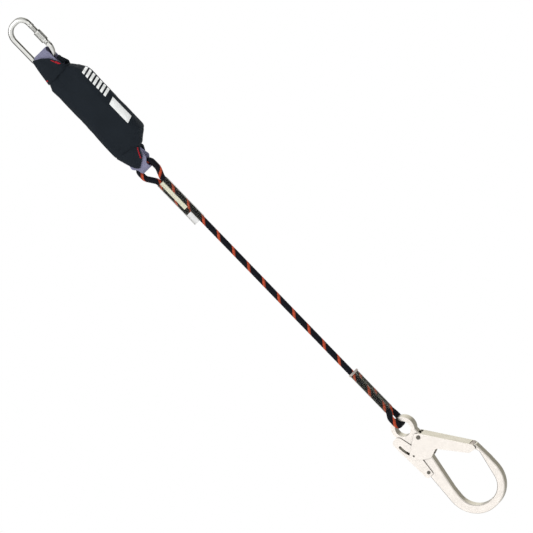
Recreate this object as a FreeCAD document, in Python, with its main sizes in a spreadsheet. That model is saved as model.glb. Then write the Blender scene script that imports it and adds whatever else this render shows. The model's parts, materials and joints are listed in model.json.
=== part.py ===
import FreeCAD, Part
import math
import os

import Sketcher

from FreeCAD import Placement, Rotation, Vector

# Shock absorbing lanyard, hanging: karabiner on top, energy absorber, rope, scaffold hook.
# Millimetres. +Z points up along the rope, the front faces -Y, and the origin is the centre of
# the karabiner's top bend. The scaffold hook's own outlines are written from its eye centre.

doc = FreeCAD.newDocument("shock_absorbing_lanyard")
sheet = doc.addObject("Spreadsheet::Sheet", "Dimensions")
DIMENSIONS = {
    "bar_radius": 5, "bend_radius": 22, "nose_bend_radius": 17, "spine_length": 46,
    "nose_level": 3, "nose_gap": 0.4, "hinge_level": -46, "fork_level": -43,
    "shoulder_level": -40.6, "tongue_thickness": 4, "tongue_play": 0.2, "rivet_radius": 1.6,
    "rivet_head_radius": 2.6, "rivet_head_height": 1, "running_clearance": 0.05,
    "gate_slot_depth": 5.6, "latch_pin_radius": 1, "latch_pin_drop": 2.8,
    "thread_pitch": 2.2, "thread_depth": 0.6, "thread_count": 7,
    "sleeve_radius": 7, "sleeve_bottom": -37, "sleeve_length": 22, "knurl_count": 24,
    "knurl_radius": 0.45, "chamber_radius": 1.5, "chamber_bottom": -38, "chamber_length": 14,
    "plunger_radius": 0.7, "plunger_offset": -2.9, "chamber_offset": -2.3,
    "webbing_thickness": 2.5, "upper_loop_width": 27, "lower_loop_width": 22,
    "loop_gap": 16, "upper_fold_level": -45, "lower_fold_level": -325, "loop_stem": 10,
    "lower_loop_shift": -9, "cuff_thickness": 1.5, "cuff_play": 0.3,
    "cover_depth": 35, "cover_wall": 2, "cover_rounding": 5, "strip_thickness": 1.2,
    "tear_width": 42, "tear_layers": 6, "tear_spacing": 4.4, "stitch_thickness": 0.6,
    "rope_radius": 5.5, "rope_play": 0.1, "rope_pitch": 70, "first_bend_level": -465,
    "rope_sections": 5, "eye_top_level": -312, "tube_wall": 0.8, "tube_top": -357,
    "tube_bottom": -452, "tail_end": -430, "leg_spacing": 11.5, "label_width": 8.5,
    "label_top": -358, "label_length": 62, "lower_tube_top": -830, "lower_tube_bottom": -920,
    "hook_eye_level": -962.5, "hook_hole_radius": 14.5, "hook_ring_radius": 22,
    "hook_thickness": 16, "hook_chamfer": 1.5, "sheet_thickness": 1.5, "sheet_play": 0.15,
    "gate_rivet_radius": 2.5, "lever_rivet_radius": 2, "guide_pin_radius": 2,
    "gate_travel": 45, "lever_travel": 4, "boss_radius": 6, "spring_wire_radius": 0.5,
}
for row, (alias, value) in enumerate(DIMENSIONS.items(), start=1):
    sheet.set("A%d" % row, alias.replace("_", " "))
    sheet.set("B%d" % row, str(value))
    sheet.setAlias("B%d" % row, alias)
doc.recompute()


def size(alias):
    """A driving dimension, read back from the sheet."""
    return float(sheet.get(alias))


def bound(text):
    """Write an expression's dimension names as references into the sheet."""
    words = text.replace("(", "( ").replace(")", " )").split()
    return " ".join("Dimensions." + word if word in DIMENSIONS else word for word in words)


pieces = []


def new_body(name):
    body = doc.addObject("PartDesign::Body", name)
    body.Label = name
    pieces.append(body)
    return body


def new_sketch(body, name, plane="XZ_Plane", offset=None):
    """A sketch on one of the body's own planes; offset moves it along the plane's normal."""
    sketch = body.newObject("Sketcher::SketchObject", name)
    support = [feature for feature in body.Origin.OriginFeatures if feature.Role == plane][0]
    sketch.AttachmentSupport = [(support, "")]
    sketch.MapMode = "FlatFace"
    if offset:
        sketch.setExpression("AttachmentOffset.Base.z", bound(offset))
    return sketch


def draw_rounded(sketch, corners, closed=True):
    """Lines through the corners (u, v, radius), each corner rounded to its radius."""
    stops = []
    for index, (u, v, radius) in enumerate(corners):
        here = Vector(u, v, 0)
        at_end = not closed and index in (0, len(corners) - 1)
        if at_end or radius == 0:
            stops.append((here, here))
            continue
        before = Vector(*corners[index - 1][:2], 0) - here
        after = Vector(*corners[(index + 1) % len(corners)][:2], 0) - here
        half_angle = before.getAngle(after) / 2
        before.normalize()
        after.normalize()
        reach = radius / math.tan(half_angle)
        inward = before + after
        inward.normalize()
        middle = here + inward * (radius / math.sin(half_angle) - radius)
        start, end = here + before * reach, here + after * reach
        sketch.addGeometry(Part.ArcOfCircle(start, middle, end), False)
        stops.append((start, end))
    last = len(stops) if closed else len(stops) - 1
    for index in range(last):
        start, end = stops[index][1], stops[(index + 1) % len(stops)][0]
        if start.distanceToPoint(end) > 1e-6:
            sketch.addGeometry(Part.LineSegment(start, end), False)


def draw_circle(sketch, u, v, radius):
    """A circle whose radius follows the sheet."""
    circle = sketch.addGeometry(Part.Circle(Vector(u, v, 0), Vector(0, 0, 1), 1), False)
    rule = sketch.addConstraint(Sketcher.Constraint("Radius", circle, 1))
    sketch.setExpression("Constraints[%d]" % rule, bound(radius))
    for axis, place in (("DistanceX", u), ("DistanceY", v)):
        sketch.addConstraint(Sketcher.Constraint(axis, -1, 1, circle, 3, place))


def finish_feature(feature, length, both_sides):
    feature.SideType = "Symmetric" if both_sides else "One side"
    feature.setExpression("Length", bound(length))
    return feature


def pad(body, sketch, length, both_sides=True):
    feature = body.newObject("PartDesign::Pad", sketch.Name + "_pad")
    feature.Profile = sketch
    return finish_feature(feature, length, both_sides)


def pocket(body, sketch, length, both_sides=True):
    """Cut both ways or only along the sketch's normal, and stop if the cut removed nothing."""
    doc.recompute()
    before = body.Shape.Volume
    feature = body.newObject("PartDesign::Pocket", sketch.Name + "_pocket")
    feature.Profile = sketch
    finish_feature(feature, length, both_sides)
    feature.Reversed = not both_sides
    doc.recompute()
    if body.Shape.Volume > before - 0.01:
        raise ValueError(feature.Name + " cuts nothing")
    return feature


def pipe(body, profile, path):
    feature = body.newObject("PartDesign::AdditivePipe", path.Name + "_pipe")
    feature.Profile = profile
    feature.Spine = path
    return feature


def turn(body, sketch, x):
    """Turn the sketch a full circle about the vertical line at x."""
    sketch.addGeometry(Part.LineSegment(Vector(x, 0, 0), Vector(x, 10, 0)), True)
    feature = body.newObject("PartDesign::Revolution", sketch.Name + "_turned")
    feature.Profile = sketch
    feature.ReferenceAxis = (sketch, ["Axis0"])
    feature.Angle = 360


def ball(body, u, v, plane="XZ_Plane"):
    """A sphere of the rope's radius, used as the rounded end of a rope solid."""
    feature = body.newObject("PartDesign::AdditiveSphere", body.Name + "_ball")
    support = [item for item in body.Origin.OriginFeatures if item.Role == plane][0]
    feature.AttachmentSupport = [(support, "")]
    feature.MapMode = "FlatFace"
    feature.AttachmentOffset = Placement(Vector(u, v, 0), Rotation())
    feature.setExpression("Radius", "Dimensions.rope_radius")
    return feature


def disc_y(name, x, y, z, radius, length):
    """A cylinder along Y with its middle at (x, y, z)."""
    disc = doc.addObject("Part::Cylinder", name)
    disc.setExpression("Radius", bound(radius))
    disc.setExpression("Height", bound(length))
    doc.recompute()
    disc.Placement = Placement(Vector(x, y + disc.Height.Value / 2, z), Rotation(Vector(1, 0, 0), 90))
    return disc


def rivet(name, x, z, radius, span, head_radius, head_height):
    """A riveted pin along Y: a shaft over the span, and a head beyond each of its ends."""
    shaft = disc_y(name + "_shaft", x, 0, z, radius, span)
    thick = disc_y(name + "_front", x, 0, z, head_radius, head_height)
    reach = (shaft.Height.Value + thick.Height.Value) / 2
    thick.Placement.Base.y -= reach
    back = disc_y(name + "_back", x, reach, z, head_radius, head_height)
    piece = doc.addObject("Part::MultiFuse", name)
    piece.Shapes = [shaft, thick, back]
    piece.Label = name
    pieces.append(piece)
    return piece


def coil(name, coil_radius, height, turns, place, wire_radius):
    """A round wire spring as a swept helix."""
    helix = Part.makeHelix(height / turns, height, coil_radius)
    start = Part.Circle(Vector(coil_radius, 0, 0), Vector(0, 1, 0), wire_radius).toShape()
    spring = doc.addObject("Part::Feature", name)
    spring.Shape = Part.Wire(helix.Edges).makePipeShell([Part.Wire([start])], True, True)
    spring.Placement = place
    spring.Label = name
    pieces.append(spring)
    return spring


# ---------------------------------------------------------------- karabiner

bend = size("bend_radius")
nose_bend = size("nose_bend_radius")
nose_level = size("nose_level")
hinge_level = size("hinge_level")
foot_level = -size("spine_length")
gate_top = nose_level - size("nose_gap")
fork_floor = hinge_level - size("tongue_thickness") - 0.5


def make_karabiner_body():
    """Round bar bent into an open loop, with a hooked nose tongue and a fork for the gate."""
    body = new_body("karabiner_body")
    profile = new_sketch(body, "bar_section", "XY_Plane", offset="nose_level")
    draw_circle(profile, bend, 0, "bar_radius")
    path = new_sketch(body, "bar_path")
    draw_rounded(path, [(bend, nose_level, 0), (bend, bend, nose_bend), (-bend, bend, bend),
                        (-bend, foot_level - bend, bend), (bend, foot_level - bend, bend),
                        (bend, size("fork_level"), 0)], closed=False)
    pipe(body, profile, path)
    fork = new_sketch(body, "fork_slot")
    reach = size("bar_radius") + 1
    draw_rounded(fork, [(bend - reach, fork_floor, 0), (bend + reach, fork_floor, 0),
                        (bend + reach, hinge_level + 6, 0), (bend - reach, hinge_level + 6, 0)])
    pocket(body, fork, "tongue_thickness + tongue_play")
    hole = new_sketch(body, "hinge_hole")
    draw_circle(hole, bend, hinge_level, "rivet_radius")
    pocket(body, hole, "bar_radius * 3")
    for side in (-1, 1):
        seat = new_sketch(body, "head_seat_%s" % ("front" if side > 0 else "back"),
                          offset="%d * ( bar_radius - rivet_head_height / 2 )" % side)
        draw_circle(seat, bend, hinge_level, "rivet_head_radius")
        pocket(body, seat, "rivet_head_height")
    tongue = new_sketch(body, "nose_tongue")
    pin_level = nose_level - size("latch_pin_drop")
    draw_rounded(tongue, [(bend + 1.6, nose_level + 0.5, 0), (bend + 1.6, pin_level - 1.4, 0.4),
                          (bend - 1.8, pin_level - 1.4, 0.3), (bend - 1.8, pin_level - 2.7, 0.3),
                          (bend + 4, pin_level - 2.7, 1), (bend + 4, nose_level + 0.5, 0)])
    pad(body, tongue, "tongue_thickness - tongue_play * 2")


def make_karabiner_gate():
    """Turned gate rod with a thread at the top, a slot for the nose and a tongue for the hinge."""
    body = new_body("karabiner_gate")
    radius, pitch = size("bar_radius"), size("thread_pitch")
    depth = size("thread_depth")
    rod = new_sketch(body, "gate_rod")
    outline = [(0, size("shoulder_level"), 0), (radius, size("shoulder_level"), 0)]
    first = nose_level - size("gate_slot_depth") - pitch * size("thread_count")
    for ridge in range(int(size("thread_count"))):
        low = first + ridge * pitch
        outline += [(radius, low, 0), (radius - depth, low + pitch * 0.3, 0),
                    (radius - depth, low + pitch * 0.5, 0), (radius, low + pitch * 0.8, 0)]
    outline += [(radius, gate_top, 0.8), (0, gate_top, 0)]
    draw_rounded(rod, [(bend + u, v, r) for u, v, r in outline])
    turn(body, rod, bend)
    tongue = new_sketch(body, "hinge_tongue")
    half = radius - 0.6
    draw_rounded(tongue, [(bend - half, size("shoulder_level") + 1, 0),
                          (bend - half, hinge_level - 4, 3.9), (bend + half, hinge_level - 4, 3.9),
                          (bend + half, size("shoulder_level") + 1, 0)])
    pad(body, tongue, "tongue_thickness")
    slot = new_sketch(body, "nose_slot")
    floor = nose_level - size("gate_slot_depth") - 0.4
    draw_rounded(slot, [(bend - 7, floor, 0), (bend + 7, floor, 0), (bend + 7, nose_level + 3, 0),
                        (bend - 7, nose_level + 3, 0)])
    pocket(body, slot, "tongue_thickness + tongue_play")
    for word, x, z, hole_radius in (
            ("latch_hole", bend, nose_level - size("latch_pin_drop"), "latch_pin_radius"),
            ("rivet_hole", bend, hinge_level, "rivet_radius + running_clearance")):
        hole = new_sketch(body, word)
        draw_circle(hole, x, z, hole_radius)
        pocket(body, hole, "bar_radius * 3")
    chamber = new_sketch(body, "spring_chamber", "XY_Plane", offset="chamber_bottom")
    draw_circle(chamber, bend + size("chamber_offset"), 0, "chamber_radius")
    pocket(body, chamber, "chamber_length", both_sides=False)
    bore = new_sketch(body, "plunger_bore", "XY_Plane", offset="%g" % (fork_floor - 1))
    draw_circle(bore, bend + size("plunger_offset"), 0, "plunger_radius + running_clearance")
    pocket(body, bore, "%g" % (size("chamber_bottom") - fork_floor + 2), both_sides=False)


def make_plunger():
    """Thin round-nosed rod with a head, pressed onto the fork's floor by the gate spring."""
    body = new_body("gate_plunger")
    middle, radius = bend + size("plunger_offset"), size("plunger_radius")
    tip = fork_floor + 0.1
    rod = new_sketch(body, "plunger_rod")
    draw_rounded(rod, [(middle, tip, 0), (middle + radius, tip, radius - 0.01),
                       (middle + radius, size("chamber_bottom") + 0.6, 0),
                       (middle, size("chamber_bottom") + 0.6, 0)])
    turn(body, rod, middle)
    head = new_sketch(body, "plunger_head", "XY_Plane", offset="chamber_bottom + 0.1")
    draw_circle(head, bend + size("chamber_offset"), 0, "chamber_radius - running_clearance * 2")
    pad(body, head, "1", both_sides=False)


def make_latch_pin():
    pin = disc_y("latch_pin", bend, 0, nose_level - size("latch_pin_drop"),
                 "latch_pin_radius", "bar_radius * 1.8")
    pin.Label = "latch_pin"
    pieces.append(pin)


def make_screw_sleeve():
    """Knurled sleeve that runs on the gate rod and slides up over the nose."""
    body = new_body("screw_sleeve")
    ring = new_sketch(body, "sleeve_ring", "XY_Plane", offset="sleeve_bottom")
    draw_circle(ring, bend, 0, "sleeve_radius")
    draw_circle(ring, bend, 0, "bar_radius + running_clearance * 1.6")
    pad(body, ring, "sleeve_length", both_sides=False)
    groove = new_sketch(body, "knurl_groove", "XY_Plane", offset="sleeve_bottom + 3")
    draw_circle(groove, bend + size("sleeve_radius"), 0, "knurl_radius")
    cut = pocket(body, groove, "sleeve_length - 6", both_sides=False)
    axis = body.newObject("PartDesign::Line", "sleeve_axis")
    axis.Placement = Placement(Vector(bend, 0, 0), Rotation())
    pattern = body.newObject("PartDesign::PolarPattern", "knurling")
    pattern.Originals = [cut]
    pattern.Axis = (axis, [""])
    pattern.Angle = 360
    pattern.setExpression("Occurrences", "Dimensions.knurl_count")
    body.Tip = pattern


make_karabiner_body()
make_karabiner_gate()
make_plunger()
make_latch_pin()
make_screw_sleeve()
coil("karabiner_gate_spring", 0.95, size("chamber_length") - 2.2, 8,
     Placement(Vector(bend + size("chamber_offset"), 0, size("chamber_bottom") + 1.6), Rotation()),
     size("spring_wire_radius") * 0.7)
rivet("karabiner_hinge_rivet", bend, hinge_level, "rivet_radius",
      "( bar_radius - rivet_head_height ) * 2", "rivet_head_radius", "rivet_head_height")


# ---------------------------------------------------------------- energy absorber

thickness = size("webbing_thickness")
upper_fold = size("upper_fold_level")
lower_fold = size("lower_fold_level")
stem = size("loop_stem") / 2
seam_level = upper_fold - 48.5
cover_foot = lower_fold + 37


def make_loop(name, width, shift, half_gap, fold, up):
    """Webbing loop seen from its side: a round fold, two layers, and a sewn double stem."""
    body = new_body(name)
    outer = half_gap + thickness
    outside = new_sketch(body, name + "_outside", "YZ_Plane", offset=shift)
    layers_end, stem_start, stem_end = fold - 31 * up, fold - 48 * up, fold - 67 * up
    if up < 0:
        layers_end, stem_start, stem_end = fold + 22, fold + 37, fold + 57
    draw_rounded(outside, [
        (-outer, fold, outer - 0.1), (outer, fold, outer - 0.1), (outer, layers_end, 8),
        (stem, stem_start, 8), (stem, stem_end, 0), (-stem, stem_end, 0),
        (-stem, stem_start, 8), (-outer, layers_end, 8)])
    pad(body, outside, width)
    inner_fold = fold - thickness * up
    inside = new_sketch(body, name + "_inside", "YZ_Plane", offset=shift)
    draw_rounded(inside, [
        (-half_gap, inner_fold, half_gap - 0.1), (half_gap, inner_fold, half_gap - 0.1),
        (half_gap, layers_end, 6), (0.6, stem_start - up * 2, 0.5),
        (-0.6, stem_start - up * 2, 0.5), (-half_gap, layers_end, 6)])
    pocket(body, inside, width + " * 2")


def make_cuff(name, outline, half_depth, middle, loop_width, joined, free_end):
    """Two fabric flaps over a webbing loop, joined at their sides only near the cover."""
    body = new_body(name)
    face = new_sketch(body, name + "_outline")
    draw_rounded(face, outline)
    flaps = pad(body, face, "1")
    flaps.setExpression("Length", "%g + 2 * ( Dimensions.cuff_thickness + Dimensions.cuff_play )"
                        % (2 * half_depth))
    width = size(loop_width) / 2 + 0.7
    for word, reach, start in (("mouth", 60, joined), ("throat", width, cover_foot
                               if joined < -200 else seam_level)):
        room = new_sketch(body, name + "_" + word)
        draw_rounded(room, [(middle - reach, start, 0), (middle + reach, start, 0),
                            (middle + reach, free_end, 0), (middle - reach, free_end, 0)])
        cut = pocket(body, room, "1")
        cut.setExpression("Length", "%g + 2 * Dimensions.cuff_play" % (2 * half_depth))


def make_cover():
    """Fabric pouch round the folded webbing: a thin shell with a slot at each end."""
    body = new_body("absorber_cover")
    left, right, wall = -33, 46, size("cover_wall")

    def outline(inset):
        return [(-24 + inset, seam_level - inset, 6), (left + inset, seam_level - 11, 6),
                (left - 4 + inset, cover_foot + 14, 6), (-27 + inset, cover_foot + inset, 6),
                (17, cover_foot + inset, 6), (right - inset, cover_foot + 22, 8),
                (right - inset, seam_level - 34, 14), (20 - inset, seam_level - inset, 6)]
    face = new_sketch(body, "cover_outline")
    draw_rounded(face, outline(0))
    block = pad(body, face, "cover_depth")
    doc.recompute()
    half = size("cover_depth") / 2
    rims = ["Edge%d" % (number + 1) for number, edge in enumerate(block.Shape.Edges)
            if all(abs(abs(corner.Y) - half) < 0.01 for corner in edge.Vertexes)
            and abs(edge.CenterOfMass.y) > half - 0.01]
    rounding = body.newObject("PartDesign::Fillet", "cover_rounding")
    rounding.Base = (block, rims)
    rounding.setExpression("Radius", "Dimensions.cover_rounding")
    cavity = new_sketch(body, "cover_cavity")
    draw_rounded(cavity, outline(wall))
    pocket(body, cavity, "cover_depth - cover_wall * 2")
    for word, middle, width, level in (
            ("upper_slot", 0, "upper_loop_width", seam_level),
            ("lower_slot", size("lower_loop_shift"), "lower_loop_width", cover_foot)):
        slot = new_sketch(body, word)
        reach = size(width) / 2 + 0.5
        draw_rounded(slot, [(middle - reach, level - 4, 0), (middle + reach, level - 4, 0),
                            (middle + reach, level + 4, 0), (middle - reach, level + 4, 0)])
        pocket(body, slot, "loop_stem + 1.2")


def make_tear_pack():
    """One webbing folded to and fro; the layers run up and down inside the cover."""
    body = new_body("tear_webbing")
    spacing, layers = size("tear_spacing"), int(size("tear_layers"))
    low, high = cover_foot + 26, seam_level - 26
    first = -spacing * (layers - 1) / 2
    section = new_sketch(body, "tear_section", "XY_Plane", offset="%g" % low)
    left = 5 - size("tear_width") / 2
    right = 5 + size("tear_width") / 2
    draw_rounded(section, [(left, first - thickness / 2, 0), (right, first - thickness / 2, 0),
                           (right, first + thickness / 2, 0), (left, first + thickness / 2, 0)])
    corners = [(first, low, 0)]
    for layer in range(layers - 1):
        turn_level = high if layer % 2 == 0 else low
        for side in (0, 1):
            corners.append((first + (layer + side) * spacing, turn_level, spacing / 2 - 0.01))
    corners.append((first + (layers - 1) * spacing, low if layers % 2 == 0 else high, 0))
    path = new_sketch(body, "tear_path", "YZ_Plane")
    draw_rounded(path, corners, closed=False)
    pipe(body, section, path)


def make_box(name, x, y, z, long, deep, high):
    """A block from its low corner."""
    box = doc.addObject("Part::Box", name)
    box.Length, box.Width, box.Height = long, deep, high
    box.Placement = Placement(Vector(x, y, z), Rotation())
    return box


def make_stitching(name, x, face, levels, long):
    """Short thread stitches lying on the front and back of the stitched fabric."""
    stitches = []
    deep = size("stitch_thickness")
    for number, level in enumerate(levels):
        for side, y in (("front", -face - deep), ("back", face)):
            word = "%s_%s_%d" % (name, side, number)
            stitch = make_box(word, x, y, level, long, 1, 1.4)
            stitch.setExpression("Width", "Dimensions.stitch_thickness")
            stitches.append(stitch)
    group = doc.addObject("Part::Compound", name)
    group.Links = stitches
    group.Label = name
    pieces.append(group)


def make_absorber():
    upper_gap, lower_gap = size("loop_gap") / 2, size("loop_gap") / 2 - 1
    shift = size("lower_loop_shift")
    make_loop("upper_webbing_loop", "upper_loop_width", "0", upper_gap, upper_fold, 1)
    make_loop("lower_webbing_loop", "lower_loop_width", "lower_loop_shift", lower_gap,
              lower_fold, -1)
    make_cuff("upper_cuff", [(-24, seam_level + 0.5, 1), (-18, -60, 3), (-14, -50, 3),
                             (7, -64, 4), (15, -78, 4), (19, seam_level + 0.5, 1)],
              upper_gap + thickness, 0, "upper_loop_width", -82, -46)
    make_cuff("lower_cuff", [(-27, cover_foot - 0.5, 1), (14, cover_foot - 0.5, 1),
                             (4, -303, 5), (-13, -314, 5), (-22, -306, 5)],
              lower_gap + thickness, shift, "lower_loop_width", -294, -330)
    make_cover()
    make_tear_pack()
    strip = make_box("closure_strip", -4, size("cover_depth") / 2, cover_foot + 25, 18, 1, 145)
    strip.setExpression("Width", "Dimensions.strip_thickness")
    strip.Label = "closure_strip"
    pieces.append(strip)
    cuff_play = size("cuff_play") + size("cuff_thickness") + thickness
    make_stitching("upper_stitching", 10, upper_gap + cuff_play, range(-92, -72, 4), 3)
    make_stitching("lower_stitching", -5, lower_gap + cuff_play, range(-304, -290, 4), 3)


make_absorber()


# ---------------------------------------------------------------- rope

rope = size("rope_radius")
bend_levels = [size("first_bend_level") - size("rope_pitch") * number
               for number in range(int(size("rope_sections")) + 1)]
tail_x = -size("leg_spacing")
eye_top = size("eye_top_level")
lower_tube_foot = size("lower_tube_bottom")
hook_eye = size("hook_eye_level")
seat_level = hook_eye + size("hook_hole_radius") - rope - size("rope_play")


def make_upper_eye():
    """Rope's upper end: a flat-topped eye in the XZ plane and two legs side by side."""
    body = new_body("rope_upper_eye")
    section = new_sketch(body, "upper_eye_section", "XY_Plane", offset="first_bend_level")
    draw_circle(section, 0, 0, "rope_radius")
    path = new_sketch(body, "upper_eye_path")
    neck = size("tube_top") + 5
    left, right = -25.8, 7.8
    draw_rounded(path, [(0, bend_levels[0], 0), (0, neck, 14), (right, neck + 17, 14),
                        (right, eye_top, 9.5), (left, eye_top, 9.5), (left, neck + 19, 14),
                        (tail_x, neck, 14), (tail_x, size("tail_end"), 0)], closed=False)
    pipe(body, section, path)
    ball(body, 0, bend_levels[0])


def make_lower_eye():
    """Rope's lower end: an eye in the YZ plane through the hook's ring, legs front to back."""
    body = new_body("rope_lower_eye")
    start = bend_levels[-1] - rope - size("rope_play")
    section = new_sketch(body, "lower_eye_section", "XY_Plane", offset="%g" % start)
    draw_circle(section, 0, 0, "rope_radius")
    path = new_sketch(body, "lower_eye_path", "YZ_Plane")
    reach = size("hook_thickness") / 2 + rope + 0.6
    neck = lower_tube_foot - 4
    draw_rounded(path, [(0, start, 0), (0, neck, 8), (-reach, neck - 10, 8),
                        (-reach, seat_level, 6), (reach, seat_level, 6), (reach, neck - 10, 14),
                        (-tail_x, neck, 14), (-tail_x, size("lower_tube_top") - 4, 0)],
                 closed=False)
    pipe(body, section, path)


def make_rope_section(number):
    """A straight length of rope with a flat top and a rounded foot centred on its lower bend."""
    body = new_body("rope_section_%d" % number)
    outline = new_sketch(body, "rope_section_%d_outline" % number)
    top = bend_levels[number - 1] - rope - size("rope_play")
    foot = bend_levels[number] - rope
    draw_rounded(outline, [(0, top, 0), (rope, top, 0.5), (rope, foot, rope - 0.01), (0, foot, 0)])
    turn(body, outline, 0)


def make_stadium_ring(name, along_y, middle, inner, wall, level, length):
    """A tube round two rope legs: a long round-ended ring, drawn in XY and padded up."""
    body = new_body(name)
    ring = new_sketch(body, name + "_section", "XY_Plane", offset=level)
    for radius in (inner, inner + wall):
        reach, side = size("leg_spacing") / 2 + radius, radius
        low, high = middle - reach, middle + reach
        corners = [(low, -side, side), (high, -side, side), (high, side, side), (low, side, side)]
        if along_y:
            corners = [(v, u, r) for u, v, r in corners]
        draw_rounded(ring, corners)
    pad(body, ring, length, both_sides=False)


def make_rope():
    make_upper_eye()
    for number in range(1, int(size("rope_sections")) + 1):
        make_rope_section(number)
    make_lower_eye()
    inner, wall = rope + size("rope_play"), size("tube_wall")
    make_stadium_ring("upper_shrink_tube", False, tail_x / 2, inner, wall, "tube_bottom",
                      "tube_top - tube_bottom")
    make_stadium_ring("lower_shrink_tube", True, -tail_x / 2, inner, wall, "lower_tube_bottom",
                      "lower_tube_top - lower_tube_bottom")
    make_stadium_ring("tube_thread_band", True, -tail_x / 2, inner + wall, wall,
                      "lower_tube_top - 4", "4")
    width, high = size("label_width"), size("label_length")
    label = make_box("label_strip", tail_x / 2 - width / 2, -inner + 0.02,
                     size("label_top") - high, 1, 0.25, 1)
    label.setExpression("Length", "Dimensions.label_width")
    label.setExpression("Height", "Dimensions.label_length")
    label.Label = "label_strip"
    pieces.append(label)


make_rope()


# ---------------------------------------------------------------- scaffold hook

gate_pivot = Vector(11.8, -29.6, 0)
guide_pin = Vector(-20.1, -48, 0)
lever_pivot = Vector(-22.2, -86.8, 0)
arm_angle = math.radians(-52.5)
sheet_gap = size("sheet_play")
sheet_wall = size("sheet_thickness")


def draw_hook(sketch, corners):
    """Corners written from the hook's eye centre, drawn in the lanyard's frame."""
    draw_rounded(sketch, [(u, v + hook_eye, radius) for u, v, radius in corners])


def arm_point(along, outward, radius=0):
    """A corner placed along the gate's arm from the pivot, and outward from the arm's line."""
    cos, sin = math.cos(arm_angle), math.sin(arm_angle)
    return (gate_pivot.x + along * cos - outward * sin, gate_pivot.y + along * sin + outward * cos,
            radius)


def turned_about(point, centre, degrees):
    """The point after a turn about +Y through the centre, in the hook's own plane."""
    angle = math.radians(degrees)
    u, v = point.x - centre.x, point.y - centre.y
    return Vector(centre.x + u * math.cos(angle) + v * math.sin(angle),
                  centre.y - u * math.sin(angle) + v * math.cos(angle), 0)


def make_hook_body():
    """Forged hook: an eye ring, a flat neck, a long shank and a deep round mouth with a nose."""
    body = new_body("hook_body")
    ring = new_sketch(body, "eye_ring")
    draw_circle(ring, 0, hook_eye, "hook_ring_radius")
    pad(body, ring, "hook_thickness")
    shank = new_sketch(body, "shank_outline")
    draw_hook(shank, [(-16, -8, 0), (16, -8, 0), (17.2, -33, 4), (10, -60, 12), (2.7, -72, 6),
                      (-11, -138, 40), (-16.5, -196, 38), (58, -196, 34), (77, -121, 3),
                      (71.5, -106.5, 2), (81, -105, 4), (82.5, -140, 60), (80.5, -211, 54),
                      (-35.5, -211, 56), (-26.5, -93, 40), (-26, -66, 5), (-16, -54, 4)])
    block = pad(body, shank, "hook_thickness")
    doc.recompute()
    half = size("hook_thickness") / 2
    rims = ["Edge%d" % (number + 1) for number, edge in enumerate(block.Shape.Edges)
            if abs(abs(edge.CenterOfMass.y) - half) < 0.01
            and edge.CenterOfMass.z < hook_eye - 75]
    chamfer = body.newObject("PartDesign::Chamfer", "mouth_chamfer")
    chamfer.Base = (block, rims)
    chamfer.setExpression("Size", "Dimensions.hook_chamfer")
    boss = new_sketch(body, "pivot_boss")
    draw_circle(boss, gate_pivot.x, gate_pivot.y + hook_eye, "boss_radius")
    pad(body, boss, "hook_thickness + 2 * ( sheet_play + sheet_thickness )")
    eye = new_sketch(body, "eye_hole")
    draw_circle(eye, 0, hook_eye, "hook_hole_radius")
    pocket(body, eye, "hook_thickness * 2")
    for word, place, radius in (("gate_rivet_hole", gate_pivot, "gate_rivet_radius"),
                                ("lever_rivet_hole", lever_pivot, "lever_rivet_radius")):
        hole = new_sketch(body, word)
        draw_circle(hole, place.x, place.y + hook_eye, radius)
        pocket(body, hole, "hook_thickness * 2")
    spring_slot = new_sketch(body, "gate_spring_slot")
    draw_hook(spring_slot, [(4, -37, 3), (4, -22.5, 3), (30, -22.5, 0), (30, -56, 0), (11, -56, 2)])
    pocket(body, spring_slot, "7")


def make_sheet_channel(name, outline, room, half, holes):
    """A folded sheet: two equal cheeks joined by a web, with round holes through the cheeks."""
    body = new_body(name)
    face = new_sketch(body, name + "_outline")
    draw_hook(face, outline)
    pad(body, face, "%g" % (2 * (half + sheet_wall)))
    inside = new_sketch(body, name + "_room")
    draw_hook(inside, room)
    pocket(body, inside, "%g" % (2 * half))
    for number, (place, radius) in enumerate(holes):
        hole = new_sketch(body, "%s_hole_%d" % (name, number))
        draw_circle(hole, place.x, place.y + hook_eye, radius)
        pocket(body, hole, "hook_thickness * 2")
    return body


def make_gate():
    """Gate: cheeks straddle the neck and the nose, and the web runs along the arm's outer edge."""
    web, wall = 7.5, sheet_wall
    outline = [(9, -20.5, 5), arm_point(-2, web, 5), arm_point(98, web, 3), (80, -114, 4),
               (62, -110.5, 2), (21, -65, 3), (2.7, -71, 4), (-13, -63, 5), (-27, -51, 5),
               (-25.5, -42, 4)]
    room = [arm_point(-70, 40), arm_point(3, 40), arm_point(3, web - wall),
            arm_point(93, web - wall), arm_point(93, 40), arm_point(140, 40),
            arm_point(140, -90), arm_point(-70, -90)]
    half = size("hook_thickness") / 2 + 2 * sheet_gap + sheet_wall
    make_sheet_channel("hook_gate", outline, room, half,
                       [(gate_pivot, "gate_rivet_radius + running_clearance"),
                        (guide_pin, "guide_pin_radius")])


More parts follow.
